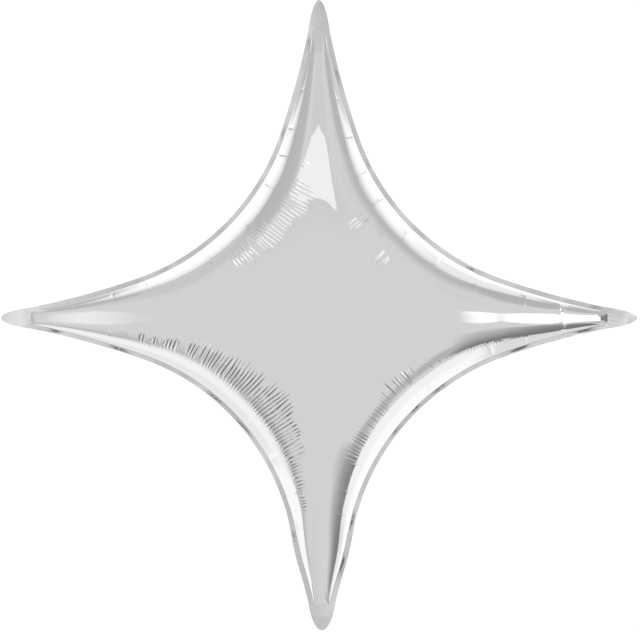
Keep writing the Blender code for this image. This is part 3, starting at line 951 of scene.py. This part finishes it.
def surround(world):
    """Rings of grey and white round the line from the star to the camera, with sectors and a window."""
    world.use_nodes = True
    tree = world.node_tree
    tree.nodes.clear()
    place = tree.nodes.new("ShaderNodeTexCoord")
    apart = node(tree, "ShaderNodeSeparateXYZ", {0: place.outputs["Generated"]})
    right, back, up = apart.outputs
    forward = product(tree, back, -1.0)
    turned = calc(tree, "DEGREES", calc(tree, "ARCCOSINE", forward))
    clock = calc(tree, "DEGREES", calc(tree, "ARCTAN2", up, right))
    rings = tree.nodes.new("ShaderNodeValToRGB")
    ramp = rings.color_ramp
    for angle, _ in SURROUND_RINGS[1:-1]:
        ramp.elements.new(angle / 180)
    for stop, (angle, shade) in zip(ramp.elements, SURROUND_RINGS):
        stop.position = angle / 180
        stop.color = grey(shade)
    connect(tree, rings, {0: calc(tree, "DIVIDE", turned, 180.0)})
    colour = rings.outputs[0]
    for near, far, clock_low, clock_high, soft, shade, cover in SURROUND_SECTORS:
        inside = product(tree, between(tree, turned, near, far, soft),
                         between(tree, clock, clock_low, clock_high, soft), cover)
        warmth = DARK_CARD_WARMTH if shade < DARK_CARD else 0.0
        colour = mixed_colour(tree, inside, colour, grey(shade, warmth))
    ahead = calc(tree, "MAXIMUM", forward, 0.02)
    across = calc(tree, "DIVIDE", right, ahead)
    height = calc(tree, "DIVIDE", up, ahead)
    window = product(tree, between(tree, height, WINDOW_LOW, WINDOW_HIGH, WINDOW_SOFT),
                     between(tree, across, WINDOW_LEFT, WINDOW_RIGHT, WINDOW_SOFT))
    colour = mixed_colour(tree, window, colour, grey(WINDOW_BRIGHTNESS))
    seen = tree.nodes.new("ShaderNodeLightPath").outputs["Is Camera Ray"]
    shown = mixed_colour(tree, seen, colour, (1, 1, 1, 1))
    glow = node(tree, "ShaderNodeBackground", {"Color": shown, "Strength": WHITE_WALL})
    node(tree, "ShaderNodeOutputWorld", {"Surface": glow.outputs[0]})


def pale_floor():
    """Pale matt board, faintly cloudy."""
    material, tree, shader = principled("pale_floor")
    cloudy = noise_on_object(tree, 3.0, 4.0)
    pale = mixed_colour(tree, cloudy, (0.80, 0.80, 0.795, 1), (0.83, 0.83, 0.825, 1))
    connect(tree, shader, {"Base Color": pale, "Roughness": 0.8})
    return material


scene = bpy.context.scene
surround_world = bpy.data.worlds.new("studio_surround")
surround(surround_world)
scene.world = surround_world
scene.view_settings.view_transform = "Standard"

disc = bmesh.new()
bmesh.ops.create_cone(disc, cap_ends=True, segments=FLOOR_CORNERS, radius1=FLOOR_RADIUS,
                      radius2=FLOOR_RADIUS, depth=FLOOR_THICKNESS)
bmesh.ops.translate(disc, verts=disc.verts, vec=(0, 0, FLOOR_HEIGHT - FLOOR_THICKNESS / 2))
floor_mesh = bpy.data.meshes.new("floor")
disc.to_mesh(floor_mesh)
disc.free()
floor = in_scene("floor", floor_mesh)
floor.data.materials.append(pale_floor())
floor.visible_glossy = False


def even_rows(full, brightness):
    """The rows of a card that is evenly bright and fades past this share of its spread."""
    return ((-1, 0, brightness), (-full, 1, brightness), (full, 1, brightness), (1, 0, brightness))


# The bright arrowhead's outline in the picture, in pixels: its sides, from the left barb over the tip to the
# right one, and its foot between the barbs. The star mirrors a light overhead as this shape
ARROWHEAD_SIDES = ((289.5, 197), (290.5, 193), (305, 157.5), (311, 137.5), (314, 133.5), (318.5, 124.5),
                   (322.5, 133.5), (325.5, 138), (331.5, 178), (336, 203), (337.5, 211))
ARROWHEAD_FOOT = ((289.5, 220), (299, 210.5), (306.5, 202), (311, 199), (318, 198), (325, 200.5),
                  (329, 203.5), (337.5, 212.5))
ARROWHEAD_STEP = 10         # pixels between two points of a straight stretch
ARROWHEAD_LIGHT_HEIGHT = 0.36
RAY_STEPS = 8


def mirrored_outline(corners, height):
    """X and Y, on the level plane at this height, of what the front film mirrors along a line of pixels."""
    points = [corners[0]]
    for first, last in zip(corners, corners[1:]):
        parts = max(1, round(math.dist(first, last) / ARROWHEAD_STEP))
        points += np.linspace(first, last, parts + 1)[1:].tolist()
    across, down = np.array(points).T
    eye_x, eye_y, eye_z = CAMERA_PLACE
    aim_x, aim_z = (across - FRAME_PIXELS[0] / 2) * PIXEL, (FRAME_PIXELS[1] / 2 - down) * PIXEL
    depth = 0.0
    for _ in range(RAY_STEPS):
        share = 1 + depth / eye_y
        x, z = eye_x + aim_x * share, eye_z + aim_z * share
        depth = film_height(x, z)
    normal = np.array(film_normal(x, z)) * [[1], [-1], [1]]
    ray = np.array([aim_x, np.full(len(across), -eye_y), aim_z])
    mirrored = ray - 2 * (ray * normal).sum(axis=0) * normal
    run = (height - z) / mirrored[2]
    return x + mirrored[0] * run, mirrored[1] * run - depth


def arrowhead_columns():
    """The columns of the card that the film mirrors as the arrowhead."""
    place, back = mirrored_outline(ARROWHEAD_SIDES, ARROWHEAD_LIGHT_HEIGHT)
    front = np.interp(place, *mirrored_outline(ARROWHEAD_FOOT, ARROWHEAD_LIGHT_HEIGHT))
    lengths = np.array([place, (back + front) / 2, (back - front) / 2]) * MILLIMETRES
    return list(zip(*lengths, [0] + [1] * (len(place) - 2) + [0]))


# Soft boxes and black cards stand close round the star, hidden from the camera. Only reflections show them,
# and they fade at their edges. Each is a grid on a plane across one axis.
# Columns: name, the axis across the plane and its place on it, the columns of the grid as (place, middle,
# spread, cover), and its rows as (distance from the middle as a share of the spread, cover, brightness).
# Places and spreads are in millimetres
CARDS = (
    ("top_light", "Z", ARROWHEAD_LIGHT_HEIGHT * MILLIMETRES, arrowhead_columns(), even_rows(0.985, 0.955)),
    ("top_tip_flag", "Z", 500,
     ((-100, -60, 80, 0), (-70, -60, 80, 1), (50, -60, 80, 1), (80, -60, 80, 0)),
     ((-1, 0, 0.62), (-0.8, 1, 0.62), (1, 1, 0.6))),
    ("right_strip_light", "Y", -500,
     ((570, 20, 70, 0), (600, 20, 90, 0.45), (630, 5, 125, 1), (670, -10, 190, 1), (740, -35, 325, 1),
      (1300, -35, 325, 1)),
     even_rows(0.85, 1.3)),
    ("left_reflector", "Y", -250,
     ((-400, 0, 40, 0), (-420, 0, 50, 0.15), (-435, 0, 70, 0.3), (-470, 0, 120, 0.62),
      (-495, 0, 150, 0.83), (-520, 0, 190, 1), (-550, 0, 220, 0.75), (-590, 0, 270, 0.45),
      (-660, 0, 300, 0)),
     even_rows(0.7, 0.93)),
    ("lower_left_flag", "Z", -620,
     ((-420, -110, 110, 0), (-380, -110, 110, 0.9), (-120, -110, 110, 0.9), (-90, -110, 110, 0)),
     even_rows(0.8, 0.2)),
    ("upper_left_flag", "X", -350,
     ((375, 0, 1000, 0), (395, 0, 1000, 0.95), (750, 0, 1000, 0.95), (850, 0, 1000, 0)),
     ((-0.4, 0, 0.53), (-0.3, 1, 0.53), (-0.06, 1, 0.51), (-0.02, 0, 0.5))),
    ("lower_right_flag", "Z", -200,
     ((335, -120, 22, 0), (350, -125, 26, 0.7), (365, -135, 35, 0.85), (380, -142, 43, 0.95),
      (395, -149, 66, 1), (410, -148, 91, 1), (430, -147, 126, 1), (450, -152, 157, 1),
      (480, -167, 183, 1), (520, -176, 197, 1), (545, -165, 186, 1), (565, -150, 170, 0)),
     ((-1, 0, 0.5), (-0.55, 0.9, 0.46), (-0.2, 1, 0.34), (0.2, 1, 0.25), (0.6, 1, 0.2), (0.93, 1, 0.2),
      (1, 0, 0.22))),
    ("bottom_right_flag", "X", 350,
     ((-440, -120, 50, 0), (-475, -140, 60, 0.9), (-500, -170, 100, 1), (-550, -220, 150, 1),
      (-600, -265, 195, 0.9), (-660, -330, 240, 0.65), (-740, -420, 280, 0.35), (-850, -500, 300, 0)),
     ((-1, 0, 0.45), (-0.7, 0.8, 0.38), (0, 1, 0.27), (0.75, 1, 0.2), (1, 0, 0.2))),
    ("neck_card", "Z", -600,
     ((-80, 0, 1000, 1), (90, 0, 1000, 1)),
     ((-0.27, 0, 0.7), (-0.24, 1, 0.7), (-0.02, 1, 0.7))),
    ("neck_side_card", "X", -100,
     ((-415, 0, 1000, 0), (-430, 0, 1000, 1), (-610, 0, 1000, 1)),
     ((-0.27, 0, 0.69), (-0.24, 1, 0.69), (-0.02, 1, 0.66))),
)


def card_glow():
    """An even glow of the card's own brightness, see-through where its cover fades."""
    material = bpy.data.materials.new("card_glow")
    material.use_nodes = True
    tree = material.node_tree
    tree.nodes.clear()
    light = node(tree, "ShaderNodeEmission", {"Strength": painted_value(tree, "brightness")})
    clear = tree.nodes.new("ShaderNodeBsdfTransparent")
    faded = node(tree, "ShaderNodeMixShader", {
        0: painted_value(tree, "cover"), 1: clear.outputs[0], 2: light.outputs[0]})
    node(tree, "ShaderNodeOutputMaterial", {"Surface": faded.outputs[0]})
    return material


def card_corner(axis, at, column, row):
    """Where a card's grid point lies. Columns run along X, or along Z on a card square to X."""
    if axis == "Y":
        return column, at, row
    return (column, row, at) if axis == "Z" else (at, row, column)


glow_material = card_glow()
for card_name, axis, at, columns, rows in CARDS:
    corners, brightness, cover = [], [], []
    for *lengths, column_cover in columns:
        place, middle, spread = (length / MILLIMETRES for length in lengths)
        for distance, row_cover, shade in rows:
            corners.append(card_corner(axis, at / MILLIMETRES, place, middle + spread * distance))
            brightness.append(shade)
            cover.append(column_cover * row_cover)
    wide, tall = len(columns), len(rows)
    cells = [(i * tall + k, (i + 1) * tall + k, (i + 1) * tall + k + 1, i * tall + k + 1)
             for i in range(wide - 1) for k in range(tall - 1)]
    card_mesh = bpy.data.meshes.new(card_name)
    card_mesh.from_pydata(corners, [], cells)
    store(card_mesh, "brightness", brightness)
    store(card_mesh, "cover", cover)
    card_mesh.materials.append(glow_material)
    card = in_scene(card_name, card_mesh)
    card.visible_camera = False
    card.visible_diffuse = False
    card.visible_shadow = False

camera_data = bpy.data.cameras.new("photo_camera")
camera_data.lens = CAMERA_LENS
camera_data.sensor_width = CAMERA_SENSOR
camera_data.clip_end = 50.0
camera = in_scene("photo_camera", camera_data)
camera.location = CAMERA_PLACE
camera.rotation_euler = (math.pi / 2, 0, 0)
scene.camera = camera
